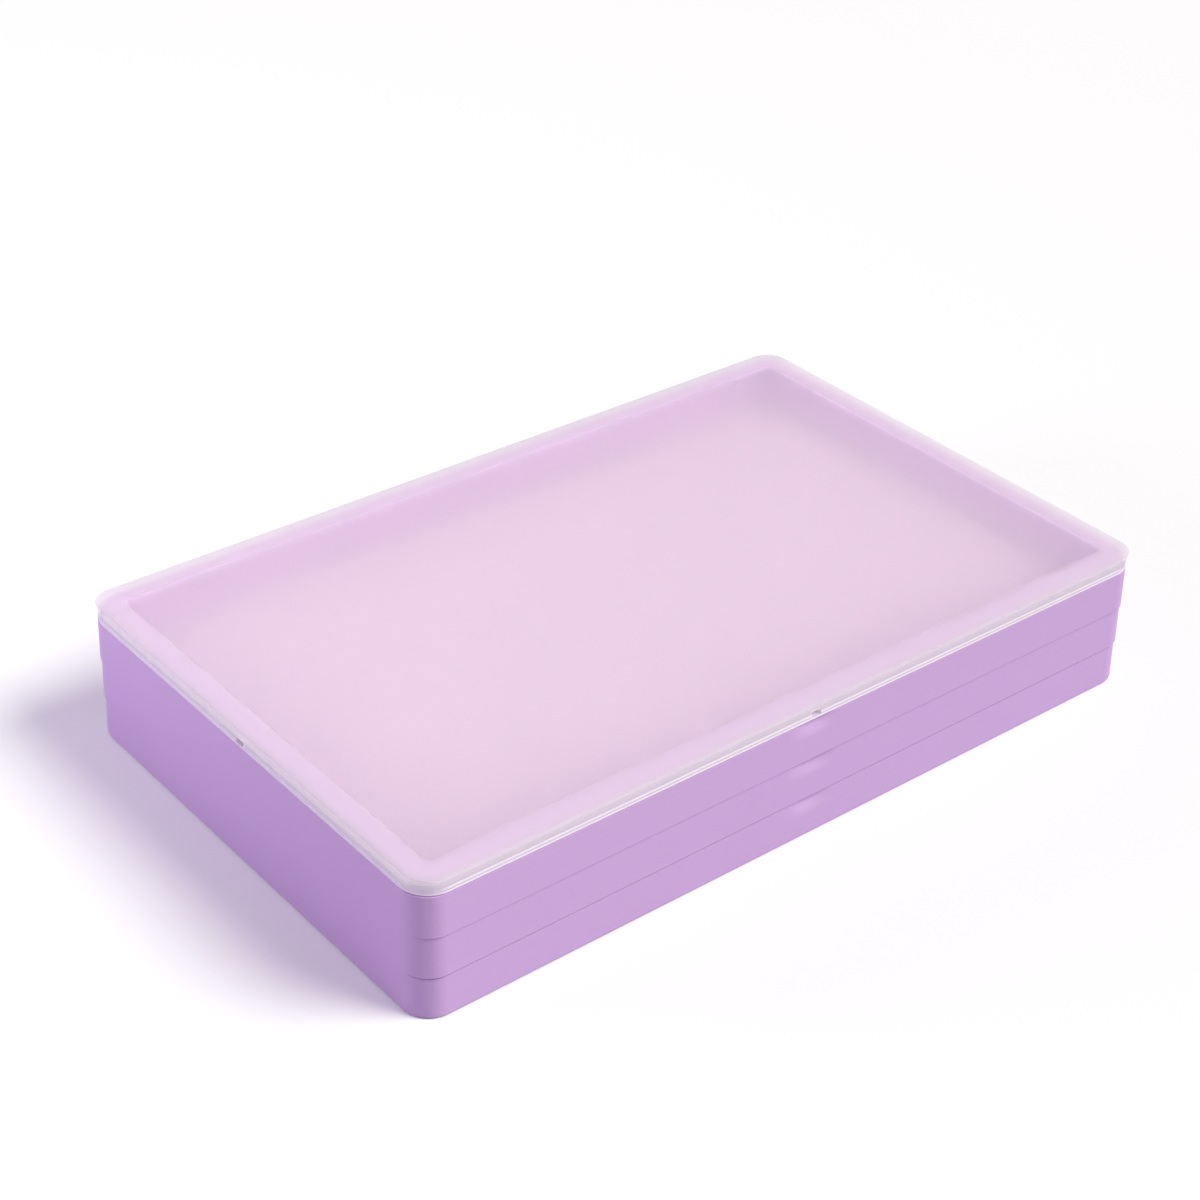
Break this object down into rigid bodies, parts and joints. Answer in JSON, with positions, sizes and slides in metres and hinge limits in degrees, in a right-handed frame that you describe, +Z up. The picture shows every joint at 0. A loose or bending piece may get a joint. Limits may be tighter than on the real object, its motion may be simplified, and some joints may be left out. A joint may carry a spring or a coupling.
{
  "type": "wet palette",
  "caption": "Stack of shallow rectangular trays under a frosted press-on lid, each tray holding a damp sponge with palette paper on it to keep paint wet.",
  "frame": {"origin": "middle of the underside, on the surface that the palette stands on", "axes": "+X along the length, +Y across the width towards the back, +Z up, the way the lid and the trays lift off; the thumb scallops are at the front, on the -Y side"},
  "size_m": [0.322, 0.2014, 0.0545],
  "materials": {
    "lilac_plastic": "satin, fine moulded grain",
    "frosted_plastic": "frosted, translucent",
    "seal_silicone": "matt silicone",
    "sponge_foam": "open-cell foam",
    "palette_paper": "matt, semi-translucent"
  },
  "bodies": {
    "base": {"base_tray": "lilac_plastic", "base_seal": "seal_silicone", "base_sponge": "sponge_foam", "base_paper": "palette_paper"},
    "middle": {"middle_tray": "lilac_plastic", "middle_seal": "seal_silicone", "middle_sponge": "sponge_foam", "middle_paper": "palette_paper"},
    "upper": {"upper_tray": "lilac_plastic", "upper_seal": "seal_silicone", "upper_sponge": "sponge_foam", "upper_paper": "palette_paper"},
    "lid": {"lid": "frosted_plastic"}
  },
  "joints": [
    {"name": "middle_tray_lift", "type": "slide", "parent": "base", "child": "middle", "axis": [0, 0, 1], "range_m": [0, 0.12]},
    {"name": "upper_tray_lift", "type": "slide", "parent": "middle", "child": "upper", "axis": [0, 0, 1], "range_m": [0, 0.12]},
    {"name": "lid_lift", "type": "slide", "parent": "upper", "child": "lid", "axis": [0, 0, 1], "range_m": [0, 0.12]}
  ]
}
